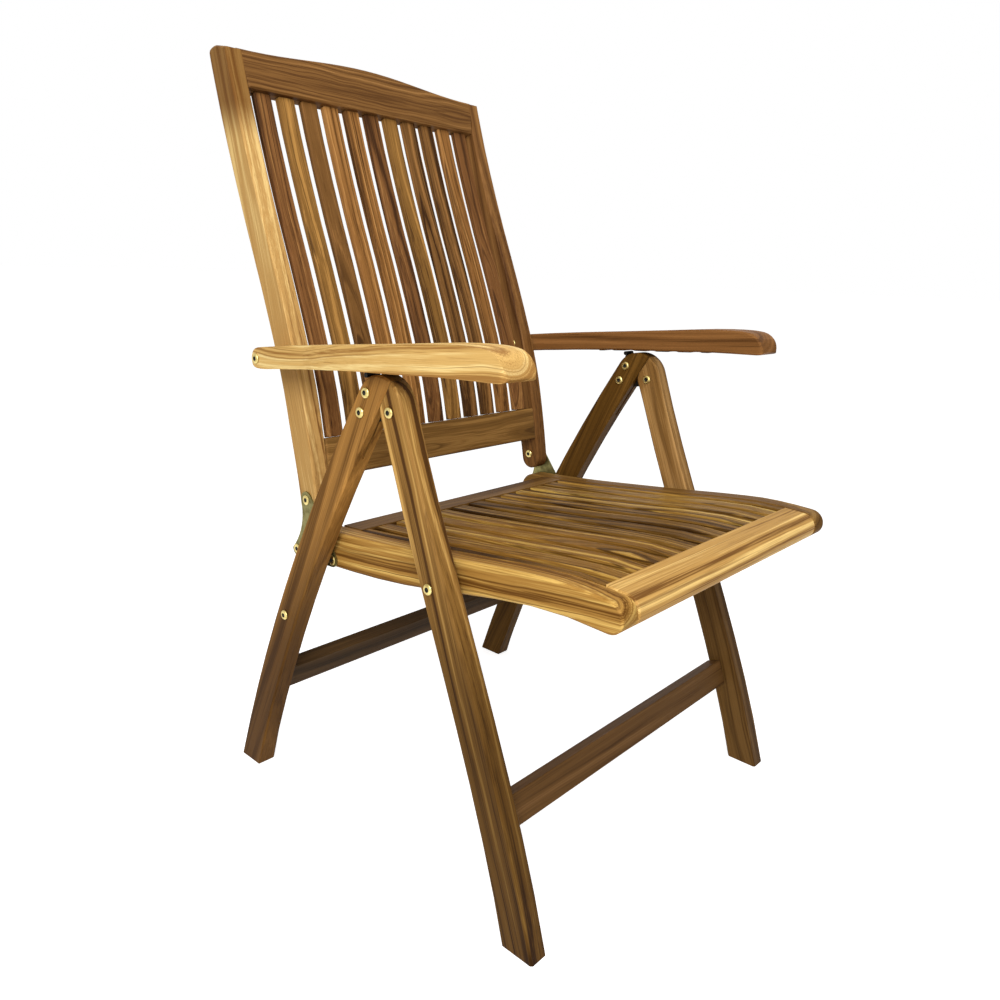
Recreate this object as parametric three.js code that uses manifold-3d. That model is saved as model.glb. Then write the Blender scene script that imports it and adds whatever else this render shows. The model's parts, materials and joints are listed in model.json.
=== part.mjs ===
// Folding teak armchair with a slatted seat and a reclining slatted back.
// Millimetres. +Z is up, the floor is z = 0, the sitter looks along -Y and has +X on the left.
// Side outlines are drawn as [y, z] pairs and pushed along X. The whole part is centred in y at the end.
import * as THREE from 'three';
import Module from 'manifold-3d';
import { mergeVertices } from 'three/addons/utils/BufferGeometryUtils.js';

const wasm = await Module();
wasm.setup();

// Driving dimensions: clearances and rounding
const seatedGap = 0.3;
const woodEase = 2.5;
const slatEase = 1.8;

// Layers across the chair: half the seat's width, and what lies inside and outside of it
const seatOuterX = 255;
const seatRailThickness = 30;
const stileWidth = 27;
const legClearance = 8;
const legThickness = 27;
const armClearance = 3.3;
const armRearWidth = 41.7;
const armFrontWidth = 52.7;

// Legs: two flat trestles that meet in a round apex
const legTopWidth = 40;
const legFootWidth = 45;
const apexY = -35;
const apexZ = 594;
const apexRadius = 42;
const frontFootY = -283;
const rearFootY = 269.5;
const frontTopDegrees = 162.1;
const rearTopDegrees = 32.4;
const frontFootDegrees = 15;
const rearFootDegrees = 18;
const frontTopHandleShare = 0.3;
const frontFootHandleShare = 0.33;
const rearTopHandleShare = 0.34;
const rearFootHandleShare = 0.331;
const kerfWidth = 3.6;
const kerfReach = 64;
const kerfRunOut = 6;
const kerfRoom = 1;
const foldDegrees = 46;
const reliefRoomDegrees = 2;
const reliefReach = 38;

// Pivots of the fold, placed on the legs
const foldPivotReach = 20.5;
const plateBoltHighReach = 28.8;
const plateBoltLowReach = 24;
const plateBoltSpread = 27;
const plateBoltHighShare = 0.133;
const seatPivotZ = 396.4;
const seatPivotInset = 7;
const linkPivotZ = 272.2;
const linkPivotInset = 3;

// Bolts, pins and plates
const boltRadius = 3.4;
const headRadius = 7;
const headHeight = 2.8;
const headCrownShare = 0.55;
const lowHeadHeight = 1;
const socketRadius = 2.6;
const socketDepthShare = 0.8;
const pinRadius = 3.3;
const plateThickness = 3;
const plateEdge = 12;
const plateNoseRadius = 3.2;
const catchReach = 47.4;
const catchDegrees = 55.3;
const catchWidth = 20;

// Stretchers between the legs
const stretcherThickness = 22;
const frontStretcherHeight = 37;
const rearStretcherHeight = 41;
const frontStretcherTopZ = 151.5;
const rearStretcherTopZ = 168.5;

// Seat frame
const seatNoseY = -371;
const seatRearY = 172;
const seatRearZ = 400;
const seatRise = 42.5;
const seatTopShares = [
  [0, 0.955], [0.07, 1], [0.15, 0.985], [0.28, 0.825], [0.38, 0.675], [0.485, 0.535], [0.6, 0.385],
  [0.72, 0.235], [0.85, 0.105], [1, 0]
];
const seatRailRearDepth = 50;
const seatRailFrontDepth = 36.5;
const seatSwellFromShare = 0.18;
const seatSwellToShare = 0.68;
const seatRearRound = 28;
const seatHeelRound = 9;
const frontRailWidth = 45;
const frontRailLift = 2.5;
const rearRailWidth = 40;
const rearRailFrontY = 78;
const rearRailHeight = 34;
const seatEdgeSlatWidth = 16;
const seatSlatCount = 11;
const seatSlatGap = 10;
const seatSlatThickness = 14;
const seatSlatSetback = 1;

// Back frame, standing on the back pivot
const backPivotY = 159;
const backPivotZ = 437;
const backRise = 622;
const backReach = 225;
const backFrontShares = [
  [-0.0064, -0.092], [0.0675, -0.059], [0.154, -0.013], [0.241, 0.043], [0.341, 0.132], [0.495, 0.295],
  [0.667, 0.492], [0.839, 0.671], [0.968, 0.787], [1, 0.813]
];
const stileLowDepth = 38;
const stileHighDepth = 45;
const stileSwellShare = 0.3;
const stileTopRound = 17;
const stileTopSwell = 4;
const stileTopFall = 5;
const crestHump = 14;
const crestHumpReach = 230;
const crestHeight = 56;
const crestThickness = 26;
const crestSlantShare = 0.16;
const lowRailZ = 495;
const lowRailHeight = 55;
const lowRailThickness = 22;
const backSlatCount = 11;
const backSlatGap = 11.5;
const backSlatThickness = 10;
const backSlatSetback = 9;

// Bracket that carries the back on the seat rail
const bracketThickness = 2.2;
const bracketHeadRadius = 12;
const bracketFootRadius = 10;
const bracketFrontReach = 59;
const bracketFrontDrop = 73;
const bracketTailReach = 23;
const bracketTailDrop = 77;
const bracketWaistShare = 0.47;
const linkPinReach = 12;
const linkPinDrop = 75;
const linkRadius = 10;
const linkThickness = 2;

// Arms
const armPivotY = 209;
const armPivotZ = 633;
const armRearReach = 11;
const armLength = 472;
const armRise = 56;
const armPivotLift = 1;
const armTopShares = [
  [0, 0.02], [0.005, 0.16], [0.02, 0.265], [0.05, 0.315], [0.128, 0.385], [0.254, 0.49], [0.414, 0.61],
  [0.59, 0.745], [0.78, 0.895], [0.88, 0.935], [0.93, 0.925], [0.961, 0.875], [0.983, 0.74], [0.9945, 0.58],
  [1, 0.44]
];
const armUnderShares = [
  [0, -0.02], [0.006, -0.15], [0.026, -0.21], [0.07, -0.2], [0.126, -0.15], [0.19, -0.1], [0.273, -0.03],
  [0.388, 0.052], [0.485, 0.12], [0.595, 0.172], [0.674, 0.214], [0.786, 0.277], [0.89, 0.313], [0.96, 0.33],
  [0.99, 0.348], [1, 0.41]
];
const armCornerRound = 9;
const armRearStraightShare = 0.25;
const rackRearY = 45;
const rackLength = 205;
const rackWidth = 20;
const rackHeight = 9;
const rackShow = 1.4;
const rackNotchCount = 5;
const rackNotchDepth = 2;

// Finishes
const teak = { color: 0x9c6a3c, roughness: 0.6, metalness: 0 };
const brass = { color: 0xb9a86a, roughness: 0.35, metalness: 1 };
const bracketMetal = { color: 0x8a8458, roughness: 0.45, metalness: 1 };
const darkSteel = { color: 0x2e2c28, roughness: 0.55, metalness: 1 };

// Smoothness of curved outlines, as counts
const arcSteps = 12;
const curveSteps = 10;
const lathePoints = 12;

const radians = THREE.MathUtils.degToRad;
const group = new THREE.Group();
group.name = 'folding_teak_armchair';

// Adds a finished piece to the part
function addPiece(name, shape, finish) {
  const geometry = shape.isBufferGeometry ? shape : fromSolid(shape);
  const mesh = new THREE.Mesh(geometry, new THREE.MeshStandardMaterial(finish));
  mesh.name = name;
  group.add(mesh);
}

// Closed solid from a three.js geometry
function toSolid(geometry) {
  const bare = geometry.clone();
  bare.deleteAttribute('normal');
  bare.deleteAttribute('uv');
  const welded = mergeVertices(bare);
  const corners = welded.index.array;
  const kept = [];
  for (let i = 0; i < corners.length; i += 3) {
    const [a, b, c] = [corners[i], corners[i + 1], corners[i + 2]];
    if (a !== b && b !== c && a !== c) kept.push(a, b, c);
  }
  return new wasm.Manifold(new wasm.Mesh({
    numProp: 3,
    vertProperties: new Float32Array(welded.attributes.position.array),
    triVerts: new Uint32Array(kept)
  }));
}

// Flat-shaded three.js geometry from a closed solid
function fromSolid(solid) {
  const mesh = solid.getMesh();
  const geometry = new THREE.BufferGeometry();
  geometry.setAttribute('position', new THREE.BufferAttribute(new Float32Array(mesh.vertProperties), 3));
  geometry.setIndex(new THREE.BufferAttribute(new Uint32Array(mesh.triVerts), 1));
  const flat = geometry.toNonIndexed();
  flat.computeVertexNormals();
  return flat;
}

// Board with a side outline of [y, z] points between two x planes, with its arrises eased
function board(outline, fromX, toX, ease) {
  const low = Math.min(fromX, toX);
  const high = Math.max(fromX, toX);
  const shape = new THREE.Shape(outline.map(([y, z]) => new THREE.Vector2(y, z)));
  const geometry = new THREE.ExtrudeGeometry(shape, {
    depth: high - low - 2 * ease,
    bevelEnabled: ease > 0,
    bevelThickness: ease,
    bevelSize: ease,
    bevelOffset: -ease,
    bevelSegments: 1
  });
  geometry.translate(0, 0, low + ease);
  const turn = new THREE.Matrix4().makeBasis(
    new THREE.Vector3(0, 1, 0), new THREE.Vector3(0, 0, 1), new THREE.Vector3(1, 0, 0)
  );
  geometry.applyMatrix4(turn);
  return toSolid(geometry);
}

// Solid of revolution about an X line through [y, z], from [radius, x] points
function turned(profile, centre, sides = lathePoints) {
  const geometry = new THREE.LatheGeometry(profile.map(([r, x]) => new THREE.Vector2(r, x)), sides);
  geometry.rotateZ(radians(-90));
  geometry.translate(0, centre[0], centre[1]);
  return toSolid(geometry);
}

// Round bar between two x planes
function bar(centre, radius, fromX, toX) {
  const low = Math.min(fromX, toX);
  const high = Math.max(fromX, toX);
  return turned([[0, low], [radius, low], [radius, high], [0, high]], centre);
}

// Six-sided bar between two x planes, for the key sockets of the bolts
function hexBar(centre, fromX, toX) {
  return turned([[0, fromX], [socketRadius, fromX], [socketRadius, toX], [0, toX]], centre, 6);
}

// Ring around a bolt between two x planes
function ring(centre, radius, fromX, toX) {
  const bore = bar(centre, boltRadius + seatedGap, 2 * fromX - toX, 2 * toX - fromX);
  return bar(centre, radius, fromX, toX).subtract(bore);
}

// Bolt with a crowned head at each end; the heads bear on the planes fromX and toX
function bolt(centre, fromX, toX, lowHead, highHead, radius = boltRadius, head = headRadius) {
  const low = Math.min(fromX, toX);
  const high = Math.max(fromX, toX);
  const crown = head * headCrownShare;
  const a = low - seatedGap;
  const b = high + seatedGap;
  const whole = turned([
    [0, a - lowHead], [crown, a - lowHead], [head, a - lowHead * (1 - headCrownShare)], [head, a],
    [radius, a], [radius, b], [head, b], [head, b + highHead * (1 - headCrownShare)], [crown, b + highHead],
    [0, b + highHead]
  ], centre);
  const lowSocket = hexBar(centre, a - 2 * lowHead, a - lowHead * (1 - socketDepthShare));
  const highSocket = hexBar(centre, b + highHead * (1 - socketDepthShare), b + 2 * highHead);
  return whole.subtract(lowSocket).subtract(highSocket);
}

// Points of an arc about a centre, angles in degrees
function arc(centre, radius, fromDegrees, toDegrees, steps = arcSteps) {
  const points = [];
  for (let i = 0; i <= steps; i++) {
    const angle = radians(fromDegrees + (toDegrees - fromDegrees) * i / steps);
    points.push([centre[0] + radius * Math.cos(angle), centre[1] + radius * Math.sin(angle)]);
  }
  return points;
}

// Outline drawn tightly around discs given as [y, z, radius], like a band around pegs
function bandAround(discs) {
  const points = discs.flatMap(([y, z, r]) => arc([y, z], r, 0, 360, 2 * arcSteps).slice(1));
  points.sort((p, q) => p[0] - q[0] || p[1] - q[1]);
  const side = (o, p, q) => (p[0] - o[0]) * (q[1] - o[1]) - (p[1] - o[1]) * (q[0] - o[0]);
  const chain = (list) => {
    const kept = [];
    for (const p of list) {
      while (kept.length > 1 && side(kept[kept.length - 2], kept[kept.length - 1], p) <= 0) kept.pop();
      kept.push(p);
    }
    kept.pop();
    return kept;
  };
  return [...chain(points), ...chain([...points].reverse())];
}

// Smooth [y, z] curve through a table of points
function smooth(points) {
  return new THREE.SplineCurve(points.map(([y, z]) => new THREE.Vector2(y, z)));
}

// Height of a curve, or its y, where the other coordinate has a given value
function crossing(curve, key, value) {
  let [low, high] = [0, 1];
  const rising = curve.getPoint(1)[key] > curve.getPoint(0)[key];
  for (let i = 0; i < 40; i++) {
    const middle = (low + high) / 2;
    if ((curve.getPoint(middle)[key] < value) === rising) low = middle;
    else high = middle;
  }
  return curve.getPoint((low + high) / 2);
}

// Point moved along the left-hand normal of a curve
function offsetPoint(curve, t, distance) {
  const p = curve.getPoint(t);
  const d = curve.getTangent(t);
  return [p.x - d.y * distance, p.y + d.x * distance];
}

// Planes across the chair, for the +X side
const seatInnerX = seatOuterX - seatRailThickness;
const backInnerX = seatOuterX - stileWidth;
const legInnerX = seatOuterX + legClearance;
const legOuterX = legInnerX + legThickness;
const legMiddleX = legInnerX + legThickness / 2;
const armInnerX = seatOuterX + armClearance;
const armRearOuterX = armInnerX + armRearWidth;
const armFrontOuterX = armInnerX + armFrontWidth;
const beyondX = 2 * legOuterX;

// Centre line of a leg from the apex to a foot below the floor line
function legLine(topDegrees, footY, footDegrees, topShare, footShare, side) {
  const out = [Math.cos(radians(topDegrees)), Math.sin(radians(topDegrees))];
  const start = apexRadius - legTopWidth / 2;
  const top = new THREE.Vector2(apexY + out[0] * start, apexZ + out[1] * start);
  const foot = new THREE.Vector2(footY, 0);
  const length = top.distanceTo(foot);
  const down = new THREE.Vector2(out[1] * side, -out[0] * side).multiplyScalar(length * topShare);
  const lean = radians(footDegrees);
  const up = new THREE.Vector2(-side * Math.sin(lean), Math.cos(lean)).multiplyScalar(length * footShare);
  return new THREE.CubicBezierCurve(top, top.clone().add(down), foot.clone().add(up), foot);
}
const frontLine = legLine(
  frontTopDegrees, frontFootY, frontFootDegrees, frontTopHandleShare, frontFootHandleShare, -1
);
const rearLine = legLine(
  rearTopDegrees, rearFootY, rearFootDegrees, rearTopHandleShare, rearFootHandleShare, 1
);

// Half width of a leg at a share of its length
function legHalf(t) {
  return (legTopWidth + (legFootWidth - legTopWidth) * t) / 2;
}

// One long edge of a leg, from the apex down to below the floor; side +1 is the rearward edge
function legEdge(line, side) {
  const points = [];
  for (let i = 0; i <= curveSteps; i++) {
    points.push(offsetPoint(line, i / curveSteps, side * legHalf(i / curveSteps)));
  }
  const last = points[curveSteps];
  const before = points[curveSteps - 1];
  points.push([last[0] + (last[0] - before[0]) / 2, last[1] + (last[1] - before[1]) / 2]);
  return points;
}
const frontLegFore = legEdge(frontLine, -1);
const frontLegRear = legEdge(frontLine, 1);
const rearLegFore = legEdge(rearLine, -1);
const rearLegRear = legEdge(rearLine, 1);

// Where a ray from the apex centre leaves the round apex
function apexPoint(degrees) {
  return arc([apexY, apexZ], apexRadius, degrees, degrees, 1)[0];
}

// The rear leg's front edge is carried on up to the round apex; there the front leg is mitred against it
const mitreFoot = rearLegFore[0];
const mitreAlong = [mitreFoot[0] - rearLegFore[1][0], mitreFoot[1] - rearLegFore[1][1]];
function mitreDegrees() {
  const reach = Math.hypot(...mitreAlong);
  const along = mitreAlong.map((v) => v / reach);
  const from = [mitreFoot[0] - apexY, mitreFoot[1] - apexZ];
  const b = from[0] * along[0] + from[1] * along[1];
  const c = from[0] ** 2 + from[1] ** 2 - apexRadius ** 2;
  const s = -b + Math.sqrt(b * b - c);
  return THREE.MathUtils.radToDeg(Math.atan2(from[1] + s * along[1], from[0] + s * along[0]));
}
const mitreTopDegrees = mitreDegrees();

// Pivots as [y, z]
const foldPivot = [apexY - foldPivotReach, apexZ];
const seatPivotOnLeg = crossing(frontLine, 'y', seatPivotZ);
const seatPivot = [seatPivotOnLeg.x + seatPivotInset, seatPivotZ];
const linkPivotOnLeg = crossing(rearLine, 'y', linkPivotZ);
const linkPivot = [linkPivotOnLeg.x + linkPivotInset, linkPivotZ];
const backPivot = [backPivotY, backPivotZ];
const armPivot = [armPivotY, armPivotZ];
const out = [Math.cos(radians(rearTopDegrees)), Math.sin(radians(rearTopDegrees))];
function plateBolt(reach, share) {
  return [
    apexY + out[0] * reach - out[1] * plateBoltSpread * share,
    apexZ + out[1] * reach + out[0] * plateBoltSpread * share
  ];
}
const plateBolts = [
  plateBolt(plateBoltHighReach, plateBoltHighShare), plateBolt(plateBoltLowReach, plateBoltHighShare - 1)
];
const catchPin = arc([apexY, apexZ], catchReach, catchDegrees, catchDegrees, 1)[0];
const bracketFront = [backPivotY - bracketFrontReach, backPivotZ - bracketFrontDrop];
const bracketTail = [backPivotY + bracketTailReach, backPivotZ - bracketTailDrop];
const linkPin = [backPivotY - linkPinReach, backPivotZ - linkPinDrop];

// Hinge plate let into kerfs in both legs
const plateDiscs = [
  [...foldPivot, plateEdge], [...plateBolts[0], plateEdge], [...plateBolts[1], plateEdge],
  [...catchPin, plateNoseRadius]
];
const grownDiscs = plateDiscs.map(([y, z, r]) => [y, z, r + kerfRoom]);
const boltHoleRadius = boltRadius + seatedGap;

// Point on the facing edge of a leg a given distance below the fold pivot, moved into the leg by a depth
function facingPoint(edge) {
  const line = smooth(edge);
  const p = crossing(line, 'y', foldPivot[1] - kerfReach);
  return [p.x, p.y, kerfRunOut];
}

// Leg solids, made for the +X side and mirrored for the other
const kerfX = [legMiddleX - kerfWidth / 2, legMiddleX + kerfWidth / 2];
function rearLegSolid(side) {
  const outline = [
    ...rearLegRear.slice(1).reverse(),
    ...arc([apexY, apexZ], apexRadius, rearTopDegrees, mitreTopDegrees),
    ...rearLegFore
  ];
  let leg = board(outline, side * legInnerX, side * legOuterX, woodEase).trimByPlane([0, 0, 1], 0);
  const kerf = bandAround([...grownDiscs, facingPoint(rearLegFore)]);
  leg = leg.subtract(board(kerf, side * kerfX[0], side * kerfX[1], 0));
  for (const hole of plateBolts) leg = leg.subtract(bar(hole, boltHoleRadius, 0, side * beyondX));
  return leg.subtract(bar(linkPivot, boltHoleRadius, 0, side * beyondX));
}

function frontLegSolid(side) {
  const normal = [mitreAlong[1], -mitreAlong[0]].map((v) => v / Math.hypot(...mitreAlong) * seatedGap);
  const top = apexPoint(mitreTopDegrees);
  const start = [top[0] - normal[0], top[1] - normal[1]];
  // Beside the pivot the mitre turns into a round about it, so that the legs clear each other in folding
  const normalDegrees = THREE.MathUtils.radToDeg(Math.atan2(normal[1], normal[0]));
  const reach = ((start[0] - foldPivot[0]) * normal[0] + (start[1] - foldPivot[1]) * normal[1]) / seatedGap;
  const endDegrees = normalDegrees - foldDegrees - reliefRoomDegrees;
  const relief = arc(foldPivot, reach, normalDegrees, endDegrees, arcSteps / 2);
  const runOut = crossing(smooth(frontLegRear), 'y', foldPivot[1] - reliefReach);
  const outline = [
    start, ...arc([apexY, apexZ], apexRadius, mitreTopDegrees, frontTopDegrees, arcSteps / 2).slice(1),
    ...frontLegFore.slice(1), ...frontLegRear.slice(2).filter((p) => p[1] < runOut.y).reverse(),
    [runOut.x, runOut.y], ...relief.reverse()
  ];
  let leg = board(outline, side * legInnerX, side * legOuterX, woodEase).trimByPlane([0, 0, 1], 0);
  const kerf = bandAround([...grownDiscs, facingPoint(frontLegRear)]);
  leg = leg.subtract(board(kerf, side * kerfX[0], side * kerfX[1], 0));
  for (const hole of [foldPivot, seatPivot]) {
    leg = leg.subtract(bar(hole, boltHoleRadius, 0, side * beyondX));
  }
  return leg;
}

// Rectangular bar across the chair, its rear top corner on a leg's rearward edge and square to that leg
function stretcher(edge, topZ, height) {
  const line = smooth(edge);
  const high = crossing(line, 'y', topZ);
  const low = crossing(line, 'y', topZ - height);
  const reach = Math.hypot(low.x - high.x, low.y - high.y);
  const down = [(low.x - high.x) / reach, (low.y - high.y) / reach];
  const fore = [down[1], -down[0]];
  const corner = (a, b) => [high.x + fore[0] * a + down[0] * b, high.y + fore[1] * a + down[1] * b];
  const outline = [
    corner(0, 0), corner(stretcherThickness, 0), corner(stretcherThickness, height), corner(0, height)
  ];
  const end = legInnerX - seatedGap;
  return board(outline, -end, end, woodEase);
}

// Seat: the nose is a half round, behind it a top line follows the table of shares
const seatNoseRadius = seatRailFrontDepth / 2;
const seatTopStartY = seatNoseY + seatNoseRadius;
const seatTopLength = seatRearY - seatTopStartY;
const seatTop = smooth(seatTopShares.map(([s, h]) => [
  seatTopStartY + seatTopLength * s, seatRearZ + seatRise * h
]));

// Height of the seat's top line at a given y
function seatLineZ(y) {
  return crossing(seatTop, 'x', y).y;
}

// Points of the seat's top line between two y planes, set down from it
function seatLine(fromY, toY, setDown, steps) {
  const points = [];
  for (let i = 0; i <= steps; i++) {
    const y = fromY + (toY - fromY) * i / steps;
    points.push([y, seatLineZ(y) - setDown]);
  }
  return points;
}

// Depth of the side rails, growing from the nose to the rear
function seatRailDepth(y) {
  const share = (y - seatTopStartY) / seatTopLength;
  const swell = THREE.MathUtils.smoothstep(share, seatSwellFromShare, seatSwellToShare);
  return seatRailFrontDepth + (seatRailRearDepth - seatRailFrontDepth) * swell;
}

// Half-round nose, from its top over the front to its underside
const seatNose = arc([seatTopStartY, seatLineZ(seatTopStartY) - seatNoseRadius], seatNoseRadius, 90, 270);

function seatRailOutline() {
  const roundY = seatRearY - seatRearRound;
  const roundCentre = [roundY, seatLineZ(roundY) - seatRearRound];
  const heelY = seatRearY - seatHeelRound;
  const heelCentre = [heelY, seatLineZ(heelY) - seatRailDepth(heelY) + seatHeelRound];
  const top = seatLine(seatTopStartY, roundY, 0, 2 * curveSteps).reverse();
  const under = seatLine(seatTopStartY, heelY, 0, curveSteps).map(([y, z]) => [y, z - seatRailDepth(y)]);
  return [
    ...top, ...seatNose.slice(1), ...under.slice(1, -1),
    ...arc(heelCentre, seatHeelRound, -90, 0, arcSteps / 3),
    ...arc(roundCentre, seatRearRound, 0, 90, arcSteps / 2).slice(0, -1)
  ];
}

function frontRailOutline() {
  const rearY = seatNoseY + frontRailWidth;
  const top = seatLine(seatTopStartY, rearY, 0, curveSteps / 2).reverse();
  const lowZ = seatNose[seatNose.length - 1][1] + frontRailLift;
  const nose = seatNose.slice(1).filter((p) => p[1] > lowZ);
  const rise = Math.acos((seatNoseRadius - frontRailLift) / seatNoseRadius);
  return [...top, ...nose, [seatTopStartY - seatNoseRadius * Math.sin(rise), lowZ], [rearY, lowZ]];
}

function rearRailOutline() {
  const top = seatLine(rearRailFrontY, rearRailFrontY + rearRailWidth, 0, curveSteps / 2);
  return [...top.reverse(), ...top.reverse().map(([y, z]) => [y, z - rearRailHeight])];
}

function seatSlatOutline() {
  const frontY = seatNoseY + frontRailWidth + seatedGap;
  const top = seatLine(frontY, rearRailFrontY - seatedGap, seatSlatSetback, curveSteps);
  return [...[...top].reverse(), ...top.map(([y, z]) => [y, z - seatSlatThickness])];
}

// Back: front line from the rounded tail to the top
const backLine = smooth(backFrontShares.map(([h, s]) => [
  backPivotY + backReach * s, backPivotZ + backRise * h
]));

// Point behind the back's front line, at a share of its length and a depth square to it
function backPoint(t, depth) {
  return offsetPoint(backLine, t, -depth);
}

function stileDepth(t) {
  return stileLowDepth + (stileHighDepth - stileLowDepth) * THREE.MathUtils.smoothstep(t, 0, stileSwellShare);
}

function stileOutline() {
  const steps = 2 * curveSteps;
  const fore = [];
  const rear = [];
  for (let i = 0; i <= steps; i++) {
    fore.push(backPoint(i / steps, 0));
    rear.push(backPoint(i / steps, stileDepth(i / steps)));
  }
  const tangent = backLine.getTangent(0);
  const upDegrees = THREE.MathUtils.radToDeg(Math.atan2(tangent.y, tangent.x));
  const tail = arc(backPoint(0, stileLowDepth / 2), stileLowDepth / 2, upDegrees + 90, upDegrees + 270);
  const topZ = fore[steps][1];
  const end = rear[steps];
  const round = new THREE.QuadraticBezierCurve(
    new THREE.Vector2(end[0], end[1]), new THREE.Vector2(end[0] + stileTopSwell, topZ),
    new THREE.Vector2(end[0] - stileTopRound, topZ)
  );
  const corner = crossing(backLine, 'y', topZ - stileTopFall);
  const face = fore.filter((p) => p[1] < topZ - 2 * stileTopFall);
  return [
    [corner.x, corner.y], ...face.reverse(), ...tail.slice(1), ...rear.slice(1),
    ...round.getPoints(arcSteps / 2).slice(1).map((p) => [p.x, p.y])
  ];
}

// Share of the back line's length at a height
function backShareAt(z) {
  let [low, high] = [0, 1];
  for (let i = 0; i < 40; i++) {
    const middle = (low + high) / 2;
    if (backLine.getPoint(middle).y < z) low = middle;
    else high = middle;
  }
  return (low + high) / 2;
}

// Rail across the back, square to the front line at a height; its outline is [x, up] from that height
function backRail(outline, thickness, z, ease) {
  const t = backShareAt(z);
  const at = backLine.getPoint(t);
  const tangent = backLine.getTangent(t);
  const shape = new THREE.Shape(outline.map(([x, up]) => new THREE.Vector2(x, up)));
  const geometry = new THREE.ExtrudeGeometry(shape, {
    depth: thickness - 2 * ease,
    bevelEnabled: ease > 0,
    bevelThickness: ease,
    bevelSize: ease,
    bevelOffset: -ease,
    bevelSegments: 1
  });
  geometry.translate(0, 0, ease - thickness);
  const across = new THREE.Vector3(1, 0, 0);
  const up = new THREE.Vector3(0, tangent.x, tangent.y);
  const turn = new THREE.Matrix4().makeBasis(across, up, new THREE.Vector3().crossVectors(across, up));
  turn.setPosition(0, at.x, at.y);
  geometry.applyMatrix4(turn);
  return toSolid(geometry);
}

const backInnerEdge = backInnerX - seatedGap;
const backTopZ = backPivotZ + backRise;
const crestLow = backTopZ - crestHeight;

// Crest rail: straight below, a low hump above, ends slanted where they meet the stiles
function crestOutline() {
  const topEdge = [];
  const endTop = backInnerEdge + crestHeight * crestSlantShare;
  const steps = 2 * curveSteps;
  for (let i = 0; i <= steps; i++) {
    const x = endTop - 2 * endTop * i / steps;
    const share = Math.min(Math.abs(x) / crestHumpReach, 1);
    topEdge.push([x, crestHeight + crestHump / 2 * (1 + Math.cos(Math.PI * share))]);
  }
  return [[-backInnerEdge, 0], [backInnerEdge, 0], ...topEdge];
}

// Room for the crest's slanted ends in the stiles
function crestRoom() {
  const high = 2 * crestHeight;
  const endTop = backInnerX + high * crestSlantShare;
  const outline = [[-backInnerX, -seatedGap], [backInnerX, -seatedGap], [endTop, high], [-endTop, high]];
  return backRail(outline, crestThickness + seatedGap, crestLow, 0);
}

function lowRailOutline() {
  const half = lowRailHeight / 2;
  return [[-backInnerEdge, -half], [backInnerEdge, -half], [backInnerEdge, half], [-backInnerEdge, half]];
}

// Back slat between the two rails
const lowRailTop = lowRailZ + lowRailHeight / 2;
function backSlatOutline() {
  const from = backShareAt(lowRailTop + seatedGap);
  const to = backShareAt(crestLow - seatedGap);
  const fore = [];
  const rear = [];
  for (let i = 0; i <= curveSteps; i++) {
    const t = from + (to - from) * i / curveSteps;
    fore.push(backPoint(t, backSlatSetback));
    rear.push(backPoint(t, backSlatSetback + backSlatThickness));
  }
  return [...fore.reverse(), ...rear];
}

// Bracket: straight in front, waisted behind, a round at each of its three bolts
function bracketOutline() {
  const head = backPivot;
  const r = bracketHeadRadius;
  const foot = bracketFootRadius;
  const gap = [head[0] - bracketFront[0], head[1] - bracketFront[1]];
  const lean = Math.atan2(gap[1], gap[0]);
  const spread = Math.asin((r - foot) / Math.hypot(...gap));
  const frontDegrees = THREE.MathUtils.radToDeg(lean + spread) + 90;
  const waist = new THREE.QuadraticBezierCurve(
    new THREE.Vector2(bracketTail[0] + foot, bracketTail[1]),
    new THREE.Vector2(head[0], bracketTail[1] + (head[1] - bracketTail[1]) * bracketWaistShare),
    new THREE.Vector2(head[0] + r, head[1])
  );
  return [
    ...arc(head, r, 0, frontDegrees), ...arc(bracketFront, foot, frontDegrees, 270, arcSteps / 2),
    ...arc(bracketTail, foot, 270, 360, arcSteps / 2),
    ...waist.getPoints(curveSteps).slice(1, -1).map((p) => [p.x, p.y])
  ];
}

// Arm: side outline and plan outline, the arm is what both share
const armRearY = armPivotY + armRearReach;
const armDatumZ = armPivotZ - armPivotLift;
const armPoints = (shares) => shares.map(([s, h]) => [armRearY - armLength * s, armDatumZ + armRise * h]);
const armTop = smooth(armPoints(armTopShares));
const armUnder = smooth(armPoints(armUnderShares));

function armSideOutline() {
  const top = armTop.getPoints(2 * armTopShares.length - 2).map((p) => [p.x, p.y]);
  const under = armUnder.getPoints(2 * armUnderShares.length - 2).map((p) => [p.x, p.y]);
  return [...top, ...under.reverse()];
}

function armPlan(side) {
  const noseY = armRearY - armLength;
  const round = armCornerRound;
  const shape = new THREE.Shape();
  shape.moveTo(side * armInnerX, armRearY);
  shape.lineTo(side * armInnerX, noseY + round);
  shape.quadraticCurveTo(side * armInnerX, noseY, side * (armInnerX + round), noseY);
  shape.lineTo(side * (armFrontOuterX - round), noseY);
  shape.quadraticCurveTo(side * armFrontOuterX, noseY, side * armFrontOuterX, noseY + round);
  shape.quadraticCurveTo(
    side * armFrontOuterX, (noseY + armRearY) / 2,
    side * armRearOuterX, armRearY - armLength * armRearStraightShare
  );
  shape.lineTo(side * armRearOuterX, armRearY);
  const geometry = new THREE.ExtrudeGeometry(shape, {
    depth: 2 * armPivotZ, bevelEnabled: false, curveSegments: curveSteps
  });
  return toSolid(geometry);
}

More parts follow.
